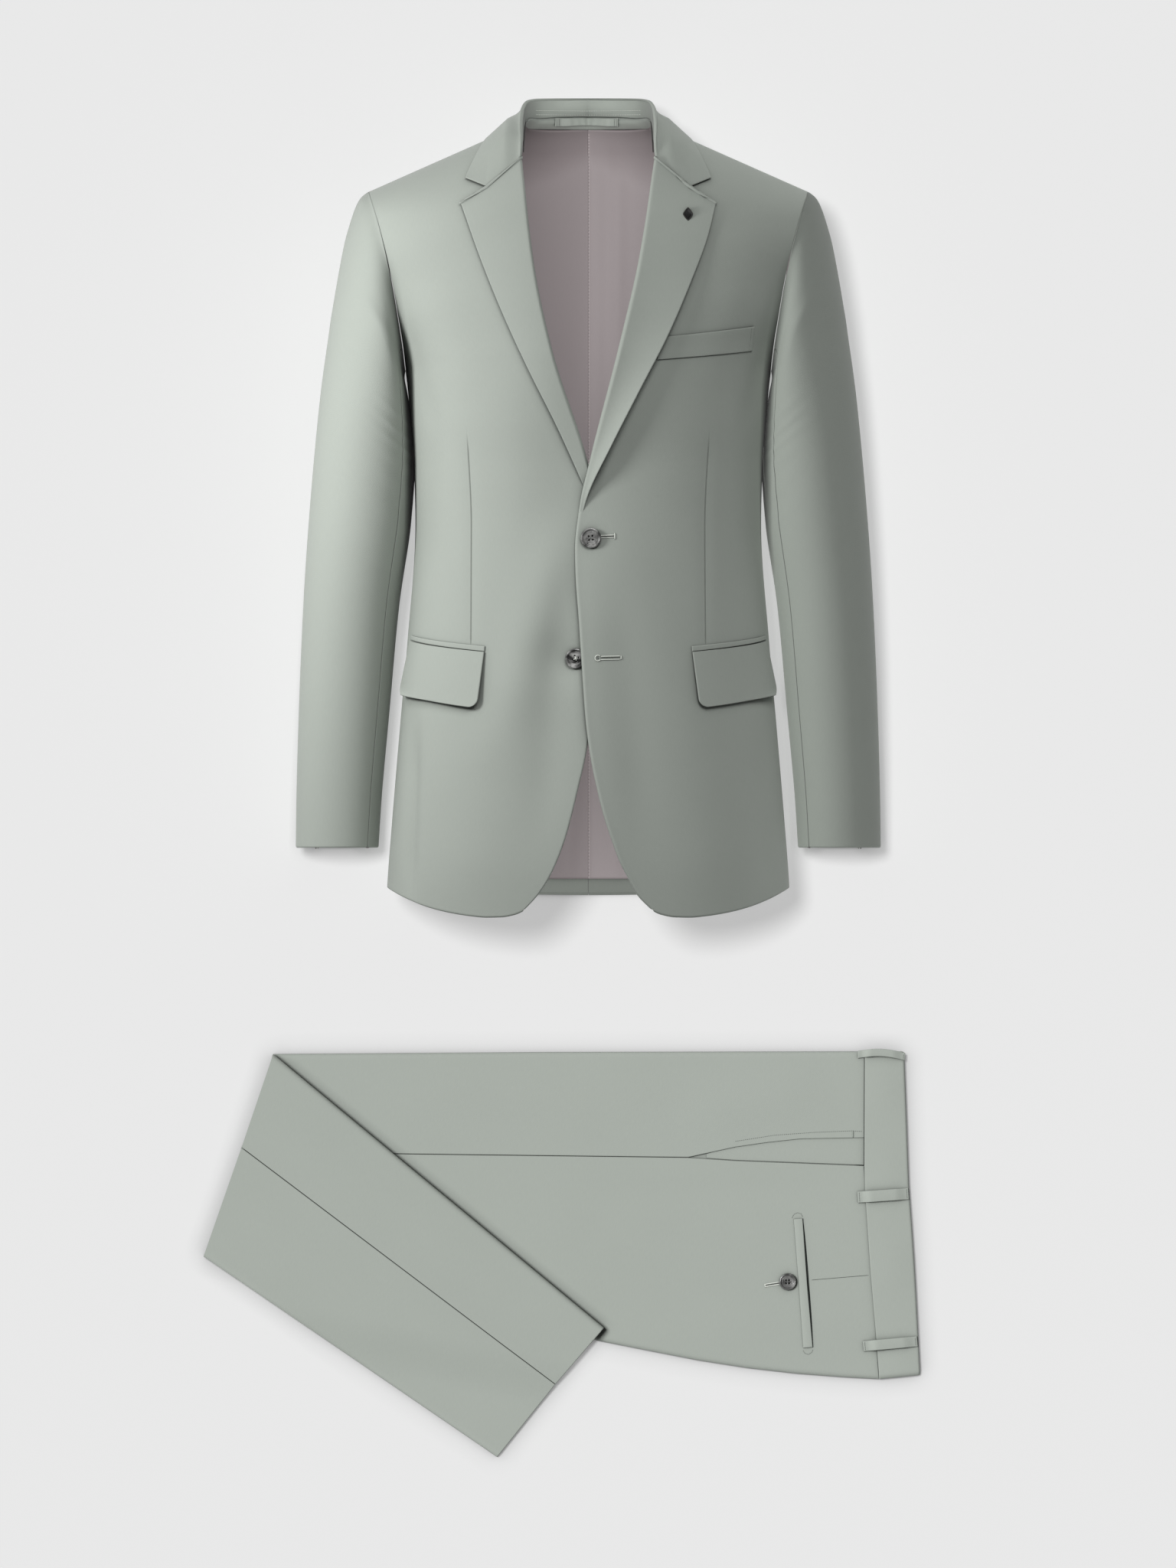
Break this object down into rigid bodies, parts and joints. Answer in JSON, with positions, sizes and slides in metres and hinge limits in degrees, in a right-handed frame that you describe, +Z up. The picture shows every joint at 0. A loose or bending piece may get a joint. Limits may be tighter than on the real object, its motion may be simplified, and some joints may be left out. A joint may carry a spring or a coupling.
{
  "type": "two-piece suit",
  "caption": "Two-piece suit laid out: a hollow single-breasted jacket on its back and flat trousers with one leg folded across.",
  "frame": {"origin": "bottom centre of the whole set's box, on the surface that both garments lie on", "axes": "+Z up from the surface, +Y from the trousers towards the jacket's collar, +X towards the jacket's left side as worn"},
  "size_m": [0.6929, 1.3132, 0.2152],
  "materials": {
    "suiting": "matt fine wool weave",
    "lining": "satin",
    "horn": "mottled, polished",
    "pin": "enamel with a bright rim"
  },
  "bodies": {
    "root": {"back_lining_left": "lining", "back_lining_right": "lining", "back_neck_facing": "suiting", "back_pocket_button": "horn", "back_pocket_jet": "suiting", "belt_loop_back": "suiting", "belt_loop_front": "suiting", "belt_loop_side": "suiting", "breast_welt": "suiting", "button_front_lower": "horn", "button_front_upper": "horn", "collar_fall": "suiting", "collar_stand": "suiting", "folded_leg_hidden_layers": "suiting", "folded_leg_lower": "suiting", "folded_leg_upper": "suiting", "front_pocket_facing": "suiting", "hanger_loop": "suiting", "jacket_back_left": "suiting", "jacket_back_right": "suiting", "jacket_front_left": "suiting", "jacket_front_right": "suiting", "jacket_side_left": "suiting", "jacket_side_right": "suiting", "lapel_left": "suiting", "lapel_pin": "pin", "lapel_right": "suiting", "pocket_flap_left": "suiting", "pocket_flap_right": "suiting", "pocket_jet_left": "suiting", "pocket_jet_right": "suiting", "sleeve_top_left": "suiting", "sleeve_top_right": "suiting", "sleeve_under_left": "suiting", "sleeve_under_right": "suiting", "trouser_back": "suiting", "trouser_front": "suiting", "trouser_hidden_layers": "suiting", "waistband": "suiting", "waistband_hidden_layers": "suiting"}
  },
  "joints": []
}
